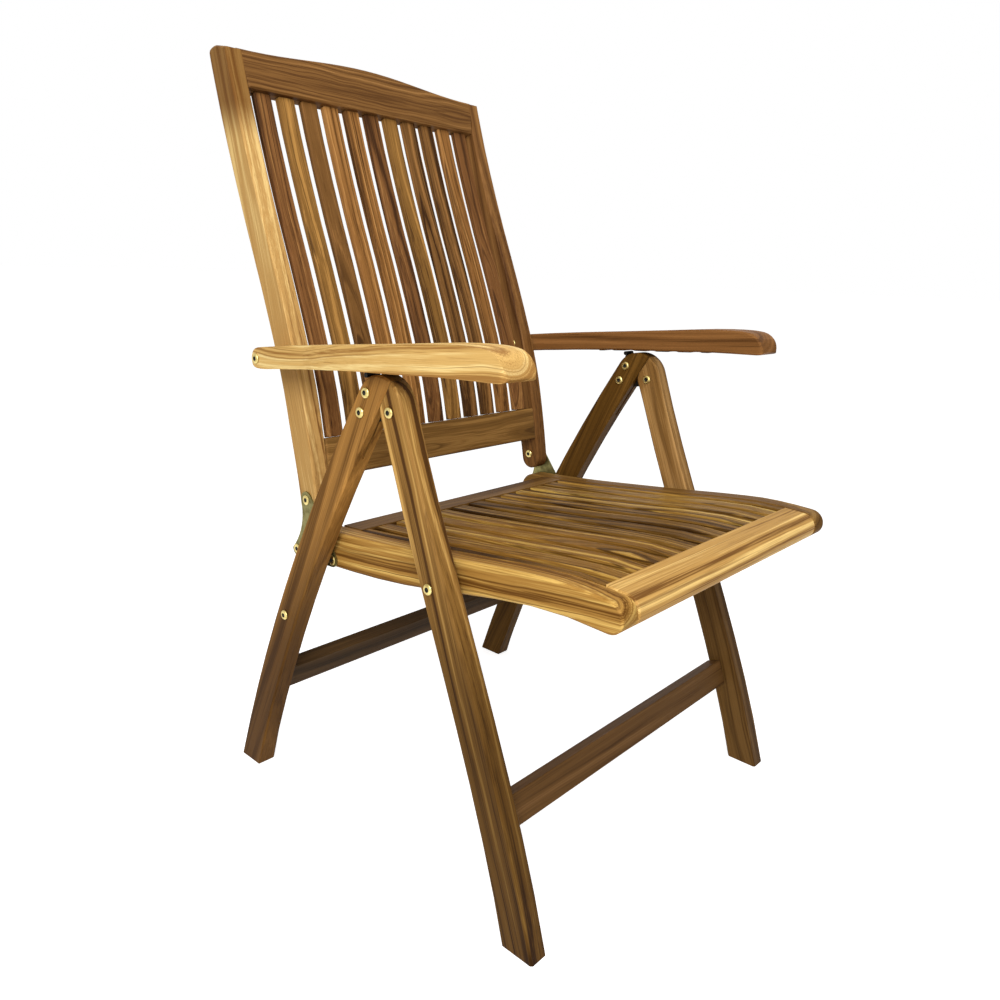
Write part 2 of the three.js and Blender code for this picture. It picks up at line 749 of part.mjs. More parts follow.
// Notched rack let into the arm's underside; a groove outline is the same, grown by a clearance
function rackOutline(grown) {
  const steps = rackNotchCount * 4;
  const low = [];
  const high = [];
  for (let i = 0; i <= steps; i++) {
    const y = rackRearY + grown - (rackLength + 2 * grown) * i / steps;
    const z = crossing(armUnder, 'x', y).y - rackShow;
    low.push([y, z - grown + (i % 4 === 2 && grown === 0 ? rackNotchDepth : 0)]);
    if (i % 4 === 0) high.push([y, z + rackHeight + grown]);
  }
  return [...low, ...high.reverse()];
}

// Layers across the chair, from the seat rail outward to the leg
const bracketInnerX = seatOuterX + seatedGap;
const bracketOuterX = bracketInnerX + bracketThickness;
const linkOuterX = legInnerX - seatedGap;
const linkInnerX = linkOuterX - linkThickness;
const washerOuterX = armInnerX - seatedGap;
const rackInnerX = legMiddleX - rackWidth / 2;
const rackOuterX = legMiddleX + rackWidth / 2;

// A bolt that bears on the leg's outer face and, with a low head, on a plane nearer the middle of the chair
function legBolt(centre, side, innerX) {
  const heads = side > 0 ? [lowHeadHeight, headHeight] : [headHeight, lowHeadHeight];
  return bolt(centre, side * innerX, side * legOuterX, ...heads);
}

// A bolt that bears with a low head on the bracket's outer face
function bracketBolt(centre, side, innerX, innerHead) {
  const heads = side > 0 ? [innerHead, lowHeadHeight] : [lowHeadHeight, innerHead];
  return bolt(centre, side * innerX, side * bracketOuterX, ...heads);
}

function throughLeg(centre, side) {
  return bolt(centre, side * legInnerX, side * legOuterX, headHeight, headHeight);
}

// Hinge plate with its two fixing bolts and its catch pin, in one piece
function hingePlate(side) {
  const nearX = side * (legMiddleX - plateThickness / 2);
  const farX = side * (legMiddleX + plateThickness / 2);
  const pinX = [legMiddleX - catchWidth / 2, legMiddleX + catchWidth / 2];
  const pin = bar(catchPin, pinRadius, side * pinX[0], side * pinX[1]);
  return board(bandAround(plateDiscs), nearX, farX, 0)
    .subtract(bar(foldPivot, boltHoleRadius, 0, side * beyondX))
    .add(throughLeg(plateBolts[0], side))
    .add(throughLeg(plateBolts[1], side))
    .add(pin);
}

// Bracket with the bolt that fixes it to the rail and the stub in its tail, in one piece
function backBracket(side) {
  return board(bracketOutline(), side * bracketInnerX, side * bracketOuterX, 0)
    .subtract(bar(backPivot, boltHoleRadius, 0, side * beyondX))
    .add(bracketBolt(bracketFront, side, seatInnerX, headHeight))
    .add(bracketBolt(bracketTail, side, bracketInnerX, lowHeadHeight));
}

// Everything that comes in a left and a right
for (const [word, side] of [['left', 1], ['right', -1]]) {
  addPiece(`rear_leg_${word}`, rearLegSolid(side), teak);
  addPiece(`front_leg_${word}`, frontLegSolid(side), teak);
  addPiece(`hinge_plate_${word}`, hingePlate(side), darkSteel);
  addPiece(`leg_pivot_bolt_${word}`, throughLeg(foldPivot, side), brass);
  addPiece(`link_bolt_${word}`, legBolt(linkPivot, side, linkInnerX), brass);
  const shoulder = bar(seatPivot, headRadius, side * bracketInnerX, side * (legInnerX - seatedGap));
  addPiece(`seat_pivot_bolt_${word}`, legBolt(seatPivot, side, seatInnerX).add(shoulder), brass);
  addPiece(`back_pivot_bolt_${word}`, bracketBolt(backPivot, side, backInnerX, headHeight), brass);

  let rail = board(seatRailOutline(), side * seatInnerX, side * seatOuterX, woodEase);
  for (const hole of [seatPivot, bracketFront]) {
    rail = rail.subtract(bar(hole, boltHoleRadius, 0, side * beyondX));
  }
  addPiece(`seat_rail_${word}`, rail, teak);

  addPiece(`back_bracket_${word}`, backBracket(side), bracketMetal);

  const linkBand = bandAround([[...linkPivot, linkRadius], [...linkPin, linkRadius]]);
  const link = board(linkBand, side * linkInnerX, side * linkOuterX, 0).subtract(
    bar(linkPivot, boltHoleRadius, 0, side * beyondX)
  );
  addPiece(`link_${word}`, link, darkSteel);

  const stile = board(stileOutline(), side * backInnerX, side * seatOuterX, woodEase).subtract(
    bar(backPivot, boltHoleRadius, 0, side * beyondX)
  ).subtract(bar(armPivot, boltHoleRadius, 0, side * beyondX)).subtract(crestRoom());
  addPiece(`back_stile_${word}`, stile, teak);

  const washer = ring(armPivot, headRadius, side * bracketInnerX, side * washerOuterX);
  addPiece(`arm_washer_${word}`, washer, brass);

  const grooveX = [rackInnerX - seatedGap, rackOuterX + seatedGap];
  const groove = board(rackOutline(seatedGap), side * grooveX[0], side * grooveX[1], 0);
  const arm = board(armSideOutline(), side * armInnerX, side * (armFrontOuterX + woodEase), woodEase)
    .intersect(armPlan(side))
    .subtract(bar(armPivot, boltHoleRadius, 0, side * beyondX))
    .subtract(groove);
  addPiece(`arm_${word}`, arm, teak);
  addPiece(`arm_rack_${word}`, board(rackOutline(0), side * rackInnerX, side * rackOuterX, 0), darkSteel);
  const armBolt = bolt(armPivot, side * backInnerX, side * armRearOuterX, headHeight, headHeight);
  addPiece(`arm_pivot_bolt_${word}`, armBolt, brass);
}

const seatRailEnd = seatInnerX - seatedGap;
addPiece('seat_front_rail', board(frontRailOutline(), -seatRailEnd, seatRailEnd, woodEase), teak);
addPiece('seat_rear_rail', board(rearRailOutline(), -seatRailEnd, seatRailEnd, woodEase), teak);
const edgeSlatInnerX = seatInnerX - seatEdgeSlatWidth;
for (const [word, side] of [['left', 1], ['right', -1]]) {
  const strip = board(seatSlatOutline(), side * edgeSlatInnerX, side * seatRailEnd, slatEase);
  addPiece(`seat_edge_slat_${word}`, strip, teak);
}
const seatSlatWidth = (2 * edgeSlatInnerX - (seatSlatCount + 1) * seatSlatGap) / seatSlatCount;
for (let i = 0; i < seatSlatCount; i++) {
  const x = -edgeSlatInnerX + seatSlatGap + i * (seatSlatWidth + seatSlatGap);
  const number = String(i + 1).padStart(2, '0');
  addPiece(`seat_slat_${number}`, board(seatSlatOutline(), x, x + seatSlatWidth, slatEase), teak);
}

addPiece('back_top_rail', backRail(crestOutline(), crestThickness, crestLow, woodEase), teak);
addPiece('back_bottom_rail', backRail(lowRailOutline(), lowRailThickness, lowRailZ, woodEase), teak);
const backSlatWidth = (2 * backInnerX - (backSlatCount + 1) * backSlatGap) / backSlatCount;
for (let i = 0; i < backSlatCount; i++) {
  const x = -backInnerX + backSlatGap + i * (backSlatWidth + backSlatGap);
  const number = String(i + 1).padStart(2, '0');
  addPiece(`back_slat_${number}`, board(backSlatOutline(), x, x + backSlatWidth, slatEase), teak);
}

addPiece('front_stretcher', stretcher(frontLegRear, frontStretcherTopZ, frontStretcherHeight), teak);
addPiece('rear_stretcher', stretcher(rearLegRear, rearStretcherTopZ, rearStretcherHeight), teak);

// The part stands centred on the origin: every piece moves back by the middle of its whole depth
const bounds = new THREE.Box3().setFromObject(group);
for (const piece of group.children) piece.geometry.translate(0, -(bounds.min.y + bounds.max.y) / 2, 0);

export default group;
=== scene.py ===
"""Dressing of the folding teak armchair: sawn teak, brass bolts, olive brackets, studio and camera.

Metres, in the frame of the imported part: +Z up, the sitter looks along -Y, +X is the sitter's left.
"""

import json
import math

import bmesh
import bpy
from mathutils import Euler, Matrix, Vector

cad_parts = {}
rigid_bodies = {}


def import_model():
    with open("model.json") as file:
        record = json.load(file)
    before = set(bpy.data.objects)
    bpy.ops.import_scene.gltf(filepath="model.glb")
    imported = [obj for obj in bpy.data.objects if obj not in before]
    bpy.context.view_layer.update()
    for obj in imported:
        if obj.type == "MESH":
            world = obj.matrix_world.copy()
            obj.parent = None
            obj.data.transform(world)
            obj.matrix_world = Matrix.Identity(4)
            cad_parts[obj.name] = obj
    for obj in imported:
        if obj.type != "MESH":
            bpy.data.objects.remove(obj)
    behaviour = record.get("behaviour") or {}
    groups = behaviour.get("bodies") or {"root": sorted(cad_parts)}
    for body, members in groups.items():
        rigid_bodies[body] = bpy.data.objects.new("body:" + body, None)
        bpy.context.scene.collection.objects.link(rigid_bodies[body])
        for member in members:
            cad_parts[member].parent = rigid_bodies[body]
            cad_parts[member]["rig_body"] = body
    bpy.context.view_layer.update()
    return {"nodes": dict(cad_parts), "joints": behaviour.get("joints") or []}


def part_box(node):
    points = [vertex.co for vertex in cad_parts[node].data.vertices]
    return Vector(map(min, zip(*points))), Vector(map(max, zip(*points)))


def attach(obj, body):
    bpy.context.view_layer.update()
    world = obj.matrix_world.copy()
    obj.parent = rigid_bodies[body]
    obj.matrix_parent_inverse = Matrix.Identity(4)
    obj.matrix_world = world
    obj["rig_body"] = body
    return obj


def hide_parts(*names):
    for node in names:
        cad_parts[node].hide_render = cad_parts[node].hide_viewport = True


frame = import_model()
nodes = frame["nodes"]
MM = 0.001


# Node tree helpers

def add(tree, kind, values=None, **settings):
    """A node with its settings and its unlinked input values."""
    node = tree.nodes.new(kind)
    for key, value in settings.items():
        setattr(node, key, value)
    for key, value in (values or {}).items():
        node.inputs[key].default_value = value
    return node


def link(tree, out, into):
    tree.links.new(out, into)


def maths(tree, operation, a, b=None, clamp=False):
    """A Math node; a and b are sockets or numbers."""
    node = add(tree, "ShaderNodeMath", operation=operation, use_clamp=clamp)
    for i, value in enumerate((a, b)):
        if value is None:
            continue
        if isinstance(value, (int, float)):
            node.inputs[i].default_value = value
        else:
            link(tree, value, node.inputs[i])
    return node.outputs[0]


def span(tree, value, from_low, from_high, to_low=0.0, to_high=1.0, smooth=False):
    """Maps a value from one range to another, clamped."""
    kind = "SMOOTHSTEP" if smooth else "LINEAR"
    node = add(tree, "ShaderNodeMapRange", {1: from_low, 2: from_high, 3: to_low, 4: to_high},
               interpolation_type=kind)
    link(tree, value, node.inputs[0])
    return node.outputs[0]


def mix_colour(tree, factor, a, b, blend="MIX"):
    """A colour mix; factor, a and b are sockets or plain values."""
    node = add(tree, "ShaderNodeMix", data_type="RGBA", blend_type=blend)
    for socket, value in ((node.inputs[0], factor), (node.inputs[6], a), (node.inputs[7], b)):
        if isinstance(value, (int, float, tuple)):
            socket.default_value = value
        else:
            link(tree, value, socket)
    return node.outputs[2]


def combine(tree, x, y, z):
    node = add(tree, "ShaderNodeCombineXYZ")
    for socket, value in zip(node.inputs, (x, y, z)):
        if isinstance(value, (int, float)):
            socket.default_value = value
        else:
            link(tree, value, socket)
    return node.outputs[0]


def noise(tree, vector, detail=2.0, roughness=0.5, stretch=(1, 1, 1), shift=(0, 0, 0)):
    """Noise value; stretch multiplies the coordinates along X, Y and Z first."""
    mapping = add(tree, "ShaderNodeMapping", {"Scale": stretch, "Location": shift})
    link(tree, vector, mapping.inputs["Vector"])
    node = add(tree, "ShaderNodeTexNoise", {"Scale": 1.0, "Detail": detail, "Roughness": roughness})
    link(tree, mapping.outputs["Vector"], node.inputs["Vector"])
    return node.outputs["Fac"]


def group_tree(name, inputs, outputs):
    """A shader node group with named inputs (name, type, default) and outputs (name, type)."""
    tree = bpy.data.node_groups.new(name, "ShaderNodeTree")
    for label, kind, value in inputs:
        socket = tree.interface.new_socket(label, in_out="INPUT", socket_type=kind)
        if value is not None:
            socket.default_value = value
    for label, kind in outputs:
        tree.interface.new_socket(label, in_out="OUTPUT", socket_type=kind)
    return tree, tree.nodes.new("NodeGroupInput"), tree.nodes.new("NodeGroupOutput")


# Effects that several finishes share

def sawn_teak_group():
    """Solid teak cut from a trunk whose heart line is the Z axis of the given vector, in metres.

    Growth bands lie round the heart line and wander along it, so a face shows straight streaks, arches or
    ovals after how it lies to the heart. Fibres, pores and thin dark late-wood lines lie over the bands.
    """
    tree, given, out = group_tree(
        "sawn_teak",
        [("Vector", "NodeSocketVector", None), ("Seed", "NodeSocketFloat", 0.0),
         ("Band Width", "NodeSocketFloat", 0.010), ("Wander", "NodeSocketFloat", 0.02),
         ("Line Strength", "NodeSocketFloat", 0.6), ("End Grain", "NodeSocketFloat", 0.0),
         ("Light", "NodeSocketColor", (0.5, 0.3, 0.12, 1)),
         ("Middle", "NodeSocketColor", (0.3, 0.16, 0.06, 1)),
         ("Dark", "NodeSocketColor", (0.12, 0.05, 0.02, 1))],
        [("Color", "NodeSocketColor"), ("Roughness", "NodeSocketFloat"), ("Height", "NodeSocketFloat")])
    place = given.outputs["Vector"]
    seed = given.outputs["Seed"]
    dark = given.outputs["Dark"]
    split = add(tree, "ShaderNodeSeparateXYZ")
    link(tree, place, split.inputs[0])
    x, y, along = split.outputs
    squares = maths(tree, "ADD", maths(tree, "MULTIPLY", x, x), maths(tree, "MULTIPLY", y, y))
    ring = maths(tree, "SQRT", squares)
    seeded = combine(tree, maths(tree, "ADD", x, maths(tree, "MULTIPLY", seed, 0.1)), y, along)
    slow = maths(tree, "SUBTRACT", noise(tree, seeded, 1.0, 0.5, (5, 5, 2.6)), 0.5)
    quick = maths(tree, "SUBTRACT", noise(tree, seeded, 2.0, 0.5, (18, 18, 9)), 0.5)
    drift = maths(tree, "ADD", slow, maths(tree, "MULTIPLY", quick, 0.22))
    ring = maths(tree, "ADD", ring, maths(tree, "MULTIPLY", drift, given.outputs["Wander"]))
    count = maths(tree, "DIVIDE", ring, given.outputs["Band Width"])
    grown = combine(tree, count, along, seed)
    band = span(tree, noise(tree, grown, 3.0, 0.58, (1, 0.9, 1)), 0.34, 0.66)
    lines = span(tree, noise(tree, grown, 2.0, 0.5, (3.3, 1.5, 1), (9.1, 4.2, 0)), 0.55, 0.69, smooth=True)
    fibre = span(tree, noise(tree, seeded, 3.0, 0.6, (620, 620, 8)), 0.3, 0.7)
    pores = span(tree, noise(tree, seeded, 2.0, 0.6, (1500, 1500, 34)), 0.6, 0.74)
    tone = maths(tree, "ADD", maths(tree, "MULTIPLY", band, 0.68), maths(tree, "MULTIPLY", fibre, 0.32))
    colour = mix_colour(tree, span(tree, tone, 0.16, 0.5, smooth=True), dark, given.outputs["Middle"])
    colour = mix_colour(tree, span(tree, tone, 0.52, 0.86, smooth=True), colour, given.outputs["Light"])
    lined = maths(tree, "MULTIPLY", lines, given.outputs["Line Strength"], True)
    colour = mix_colour(tree, lined, colour, dark)
    colour = mix_colour(tree, maths(tree, "MULTIPLY", pores, 0.42), colour, dark)
    end_cut = maths(tree, "MULTIPLY", given.outputs["End Grain"], 0.35)
    colour = mix_colour(tree, end_cut, colour, dark)
    link(tree, colour, out.inputs["Color"])
    rough = maths(tree, "ADD", maths(tree, "MULTIPLY", tone, -0.12), 0.56)
    link(tree, maths(tree, "ADD", rough, maths(tree, "MULTIPLY", end_cut, 0.6)), out.inputs["Roughness"])
    hollow = maths(tree, "ADD", maths(tree, "MULTIPLY", pores, 0.5), maths(tree, "MULTIPLY", lined, 0.2))
    link(tree, maths(tree, "SUBTRACT", maths(tree, "MULTIPLY", fibre, 0.4), hollow), out.inputs["Height"])
    return tree


def rubbed_metal_group():
    """Fine rubbing marks and dull patches on small metal fittings."""
    tree, given, out = group_tree(
        "rubbed_metal",
        [("Vector", "NodeSocketVector", None), ("Bright", "NodeSocketColor", (0.7, 0.6, 0.3, 1)),
         ("Dull", "NodeSocketColor", (0.3, 0.26, 0.12, 1)), ("Roughness", "NodeSocketFloat", 0.3)],
        [("Color", "NodeSocketColor"), ("Roughness", "NodeSocketFloat"), ("Height", "NodeSocketFloat")])
    place = given.outputs["Vector"]
    patch = span(tree, noise(tree, place, 4.0, 0.6, (130, 130, 130)), 0.35, 0.7)
    fine = noise(tree, place, 3.0, 0.6, (900, 900, 900))
    worn = maths(tree, "MULTIPLY", patch, 0.8)
    link(tree, mix_colour(tree, worn, given.outputs["Bright"], given.outputs["Dull"]), out.inputs["Color"])
    rough = maths(tree, "ADD", given.outputs["Roughness"], maths(tree, "MULTIPLY", patch, 0.22))
    link(tree, rough, out.inputs["Roughness"])
    link(tree, maths(tree, "MULTIPLY", fine, 0.4), out.inputs["Height"])
    return tree


sawn_teak = sawn_teak_group()
rubbed_metal = rubbed_metal_group()


# Finishes

def srgb(red, green, blue):
    """A colour given in 0..255 screen values, as linear values."""
    def one(v):
        v /= 255
        return v / 12.92 if v <= 0.04045 else ((v + 0.055) / 1.055) ** 2.4
    return (one(red), one(green), one(blue), 1.0)


def material(name):
    made = bpy.data.materials.new(name)
    made.use_nodes = True
    tree = made.node_tree
    tree.nodes.clear()
    shader = add(tree, "ShaderNodeBsdfPrincipled")
    output = add(tree, "ShaderNodeOutputMaterial")
    link(tree, shader.outputs[0], output.inputs[0])
    return made, tree, shader


def teak(name, centre, turn, heart, seed, tones, band=0.010, wander=0.02, lines=0.6, tint_and_shade=None):
    """Teak for one piece.

    turn is the Euler turn that brings the grain onto Z, heart the distance of the piece's centre from the
    heart line, tones its light, middle and dark wood, and the last argument an optional (colour, from z, to
    z) factor along the height: heartwood tint, and painted shade towards the feet.
    """
    made, tree, shader = material(name)
    coordinates = add(tree, "ShaderNodeTexCoord")
    rotation = Euler(turn)
    offset = Vector((heart[0], heart[1], 0)) - rotation.to_matrix() @ centre
    place = add(tree, "ShaderNodeMapping", {"Rotation": rotation, "Location": offset})
    link(tree, coordinates.outputs["Object"], place.inputs["Vector"])
    facing = add(tree, "ShaderNodeMapping", {"Rotation": rotation})
    link(tree, coordinates.outputs["Normal"], facing.inputs["Vector"])
    split = add(tree, "ShaderNodeSeparateXYZ")
    link(tree, facing.outputs["Vector"], split.inputs[0])
    end_grain = span(tree, maths(tree, "ABSOLUTE", split.outputs[2]), 0.72, 0.95)

    wood = add(tree, "ShaderNodeGroup", node_tree=sawn_teak)
    values = {"Seed": seed, "Band Width": band, "Wander": wander, "Line Strength": lines,
              "Light": tones[0], "Middle": tones[1], "Dark": tones[2]}
    for key, value in values.items():
        wood.inputs[key].default_value = value
    link(tree, place.outputs["Vector"], wood.inputs["Vector"])
    link(tree, end_grain, wood.inputs["End Grain"])
    colour = wood.outputs["Color"]
    # Multiplies the colour along the height: darker heartwood on the near stile, painted shade towards the
    # feet of three legs
    if tint_and_shade:
        height = add(tree, "ShaderNodeSeparateXYZ")
        link(tree, coordinates.outputs["Object"], height.inputs[0])
        tint_and_shade_mask = span(tree, height.outputs[2], tint_and_shade[1], tint_and_shade[2], smooth=True)
        colour = mix_colour(tree, tint_and_shade_mask, colour, tint_and_shade[0], "MULTIPLY")
    link(tree, colour, shader.inputs["Base Color"])
    link(tree, wood.outputs["Roughness"], shader.inputs["Roughness"])
    shader.inputs["Specular IOR Level"].default_value = 0.05
    bump = add(tree, "ShaderNodeBump", {"Strength": 0.3, "Distance": 0.0005})
    link(tree, wood.outputs["Height"], bump.inputs["Height"])
    link(tree, bump.outputs[0], shader.inputs["Normal"])
    return made


def metal(name, bright, dull, roughness, metallic=1.0):
    made, tree, shader = material(name)
    finish = add(tree, "ShaderNodeGroup", node_tree=rubbed_metal)
    finish.inputs["Bright"].default_value = bright
    finish.inputs["Dull"].default_value = dull
    finish.inputs["Roughness"].default_value = roughness
    link(tree, add(tree, "ShaderNodeTexCoord").outputs["Object"], finish.inputs["Vector"])
    link(tree, finish.outputs["Color"], shader.inputs["Base Color"])
    link(tree, finish.outputs["Roughness"], shader.inputs["Roughness"])
    shader.inputs["Metallic"].default_value = metallic
    bump = add(tree, "ShaderNodeBump", {"Strength": 0.15, "Distance": 0.0003})
    link(tree, finish.outputs["Height"], bump.inputs["Height"])
    link(tree, bump.outputs[0], shader.inputs["Normal"])
    return made


brass = metal("yellow_brass", srgb(232, 212, 140), srgb(170, 148, 84), 0.26)
# The key sockets' dark inside is painted shadow in the recess
socket_painted_shadow = metal("socket_shadow", srgb(38, 34, 26), srgb(16, 14, 12), 0.6, 0.4)
olive_plate = metal("olive_plated_steel", srgb(140, 132, 84), srgb(100, 92, 54), 0.42)
dark_steel = metal("dark_steel", srgb(44, 42, 38), srgb(22, 20, 18), 0.45, 0.8)


# Teak pieces: every arris is finely rounded, and faces along a curve shade smoothly

def smooth_faces_group():
    """Joins the loose corners of a CAD mesh and shades its faces smoothly."""
    tree = bpy.data.node_groups.new("smooth_faces", "GeometryNodeTree")
    tree.interface.new_socket("Geometry", in_out="INPUT", socket_type="NodeSocketGeometry")
    tree.interface.new_socket("Geometry", in_out="OUTPUT", socket_type="NodeSocketGeometry")
    given = tree.nodes.new("NodeGroupInput")
    out = tree.nodes.new("NodeGroupOutput")
    bare = add(tree, "GeometryNodeRemoveAttribute", {"Name": "custom_normal"})
    merge = add(tree, "GeometryNodeMergeByDistance", {"Distance": 0.01 * MM})
    shade = add(tree, "GeometryNodeSetShadeSmooth")
    link(tree, given.outputs[0], bare.inputs["Geometry"])
    link(tree, bare.outputs[0], merge.inputs["Geometry"])
    link(tree, merge.outputs[0], shade.inputs["Geometry"])
    link(tree, shade.outputs[0], out.inputs[0])
    return tree


smooth_faces = smooth_faces_group()
SHARP_ANGLE = math.radians(20)


def dress(name, finish, ease):
    """Gives a CAD node its finish and edges rounded by ease."""
    obj = nodes[name]
    obj.data.materials.clear()
    obj.data.materials.append(finish)
    joined = obj.modifiers.new("joined_faces", "NODES")
    joined.node_group = smooth_faces
    edge = obj.modifiers.new("fine_edge", "BEVEL")
    edge.width = ease
    edge.segments = 2
    edge.limit_method = "ANGLE"
    edge.angle_limit = SHARP_ANGLE
    shading = obj.modifiers.new("flat_faces_stay_flat", "WEIGHTED_NORMAL")
    shading.mode = "FACE_AREA"
    shading.weight = 100


def middle_of(name):
    low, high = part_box(name)
    return (low + high) / 2


def upright(degrees, twist=0.0):
    """Turn for grain that runs up and leans rearward by degrees."""
    return (math.radians(degrees), math.radians(twist), 0)


ACROSS = (0, math.radians(90), 0)
WOOD_EASE = 1.1 * MM
SLAT_EASE = 0.8 * MM
STEEL_EASE = 0.3 * MM
WASHER_EASE = 0.2 * MM
SLAT_COUNT = 11
PIECE_SEED_STEP = 3.7
SLAT_SEED_START = 80
SLAT_SEED_STEP = 5.3
SLAT_BAND = 0.009
SLAT_WANDER = 0.022
SLAT_LINES = 0.8
SLAT_HEART = 0.03
SLAT_HEART_SWAY = 0.02

# Near and far tone sets are lit and shaded copies of one teak: painted light on the near pieces, painted
# shade on the far ones
near_arm_lit_tones = (srgb(244, 215, 146), srgb(215, 173, 102), srgb(159, 114, 58))
far_arm_shaded_tones = (srgb(158, 109, 61), srgb(131, 88, 46), srgb(90, 57, 27))
near_stile_lit_tones = (srgb(227, 192, 125), srgb(190, 147, 85), srgb(125, 84, 42))
far_stile_shaded_tones = (srgb(153, 109, 60), srgb(120, 81, 41), srgb(76, 46, 21))
crest_tones = (srgb(155, 112, 63), srgb(123, 85, 44), srgb(85, 54, 25))
low_rail_tones = (srgb(154, 114, 61), srgb(120, 85, 41), srgb(77, 51, 21))
near_front_leg_lit_tones = (srgb(209, 164, 93), srgb(153, 112, 56), srgb(78, 49, 20))
far_front_leg_shaded_tones = (srgb(181, 139, 84), srgb(137, 99, 51), srgb(84, 56, 26))
near_rear_leg_lit_tones = (srgb(195, 141, 72), srgb(158, 112, 55), srgb(111, 75, 34))
far_rear_leg_shaded_tones = (srgb(125, 88, 37), srgb(97, 66, 24), srgb(61, 38, 11))
near_seat_rail_lit_tones = (srgb(223, 182, 100), srgb(170, 125, 59), srgb(101, 64, 22))
far_seat_rail_shaded_tones = (srgb(148, 111, 57), srgb(114, 80, 36), srgb(71, 45, 17))
front_rail_tones = (srgb(245, 206, 128), srgb(195, 150, 82), srgb(116, 77, 34))
# Both stretchers' tones are darkened as painted shade low down under the seat, the rear one most
front_stretcher_shaded_tones = (srgb(118, 84, 48), srgb(96, 67, 35), srgb(70, 46, 22))
rear_stretcher_deep_shaded_tones = (srgb(86, 62, 34), srgb(68, 48, 24), srgb(44, 30, 13))
slat_tones = [
    (srgb(166, 119, 67), srgb(120, 79, 42), srgb(63, 38, 18)),
    (srgb(184, 133, 75), srgb(140, 95, 48), srgb(74, 46, 19)),
    (srgb(155, 109, 60), srgb(114, 78, 39), srgb(55, 32, 11)),
    (srgb(176, 129, 67), srgb(130, 92, 44), srgb(67, 42, 16)),
]
seat_slat_tones = [
    (srgb(199, 158, 78), srgb(131, 92, 38), srgb(56, 34, 7)),
    (srgb(179, 136, 64), srgb(112, 79, 32), srgb(52, 31, 7)),
    (srgb(217, 178, 91), srgb(143, 105, 47), srgb(62, 38, 9)),
]
# Factors on the colour: painted shade darkening three legs towards their feet, and darker wood at the top of
# the near stile
FOOT_PAINTED_SHADE = (0.34, 0.31, 0.25, 1)
HEARTWOOD = (0.34, 0.25, 0.17, 1)

wood_pieces = [
    # node, turn, heart line, tones, band, wander, lines, height factor (painted shade on the legs, heartwood
    # on the near stile)
    # The three legs' last entry is painted shade, darker towards their feet
    ("front_leg_right", upright(20), (0.04, 0.045), near_front_leg_lit_tones, 0.009, 0.02, 1.0,
     (FOOT_PAINTED_SHADE, 0.55, 0.2)),
    ("front_leg_left", upright(20), (0.06, -0.03), far_front_leg_shaded_tones, 0.011, 0.02, 0.5,
     (FOOT_PAINTED_SHADE, 0.45, 0.25)),
    ("rear_leg_right", upright(-24), (0.02, 0.07), near_rear_leg_lit_tones, 0.016, 0.012, 0.25,
     (FOOT_PAINTED_SHADE, 0.5, 0.2)),
    ("rear_leg_left", upright(-24), (-0.04, 0.05), far_rear_leg_shaded_tones, 0.012, 0.02, 0.4, None),
    ("front_stretcher", ACROSS, (0.02, 0.03), front_stretcher_shaded_tones, 0.012, 0.02, 0.4, None),
    ("rear_stretcher", ACROSS, (0.03, 0.03), rear_stretcher_deep_shaded_tones, 0.012, 0.02, 0.3, None),
    ("seat_rail_right", upright(96), (0.03, 0.04), near_seat_rail_lit_tones, 0.010, 0.03, 0.9, None),
    ("seat_rail_left", upright(96), (0.03, 0.06), far_seat_rail_shaded_tones, 0.012, 0.02, 0.5, None),
    ("seat_edge_slat_right", upright(95), (0.03, 0.05), seat_slat_tones[0], 0.010, 0.02, 0.6, None),
    ("seat_edge_slat_left", upright(95), (0.04, 0.03), seat_slat_tones[1], 0.010, 0.02, 0.6, None),
    ("seat_front_rail", ACROSS, (0.03, 0.045), front_rail_tones, 0.010, 0.012, 0.7, None),
    ("seat_rear_rail", ACROSS, (0.03, 0.03), far_seat_rail_shaded_tones, 0.012, 0.02, 0.5, None),
    ("back_stile_right", upright(17), (0.03, 0.02), near_stile_lit_tones, 0.012, 0.02, 0.35,
     (HEARTWOOD, 0.92, 0.985)),
    ("back_stile_left", upright(17), (0.03, 0.04), far_stile_shaded_tones, 0.012, 0.02, 0.4, None),
    ("back_top_rail", ACROSS, (0.004, 0.016), crest_tones, 0.009, 0.06, 0.75, None),
    ("back_bottom_rail", ACROSS, (0.006, 0.02), low_rail_tones, 0.009, 0.05, 0.7, None),
    ("arm_right", upright(94), (0.010, 0.03), near_arm_lit_tones, 0.010, 0.045, 0.8, None),
    ("arm_left", upright(94), (0.03, 0.05), far_arm_shaded_tones, 0.012, 0.02, 0.3, None),
]
for i, (name, turn, heart, tones, band, wander, lines, tint_and_shade) in enumerate(wood_pieces):
    finish = teak("teak_" + name, middle_of(name), turn, heart, PIECE_SEED_STEP * i, tones, band, wander,
                  lines, tint_and_shade)
    dress(name, finish, WOOD_EASE)

for i in range(SLAT_COUNT):
    sway = math.sin(2.4 * i)
    for word, turn, tones in (("back", upright(19.5), slat_tones), ("seat", upright(94), seat_slat_tones)):
        name = "%s_slat_%02d" % (word, i + 1)
        heart = (SLAT_HEART + SLAT_HEART_SWAY * sway, SLAT_HEART - SLAT_HEART_SWAY * math.cos(1.7 * i))
        pick = tones[(i * 3 + (i // 4)) % len(tones)]
        seed = SLAT_SEED_START + SLAT_SEED_STEP * i
        finish = teak("teak_" + name, middle_of(name), turn, heart, seed, pick, SLAT_BAND, SLAT_WANDER,
                      SLAT_LINES)
        dress(name, finish, SLAT_EASE)


# Metal fittings

HEAD_RADIUS = 7.0 * MM
HEAD_HEIGHT = 2.8 * MM
LOW_HEAD_HEIGHT = 1.0 * MM
SHANK_RADIUS = 3.4 * MM
SOCKET_RADIUS = 2.9 * MM
SOCKET_DEPTH_SHARE = 0.8
HEAD_SIDES = 36


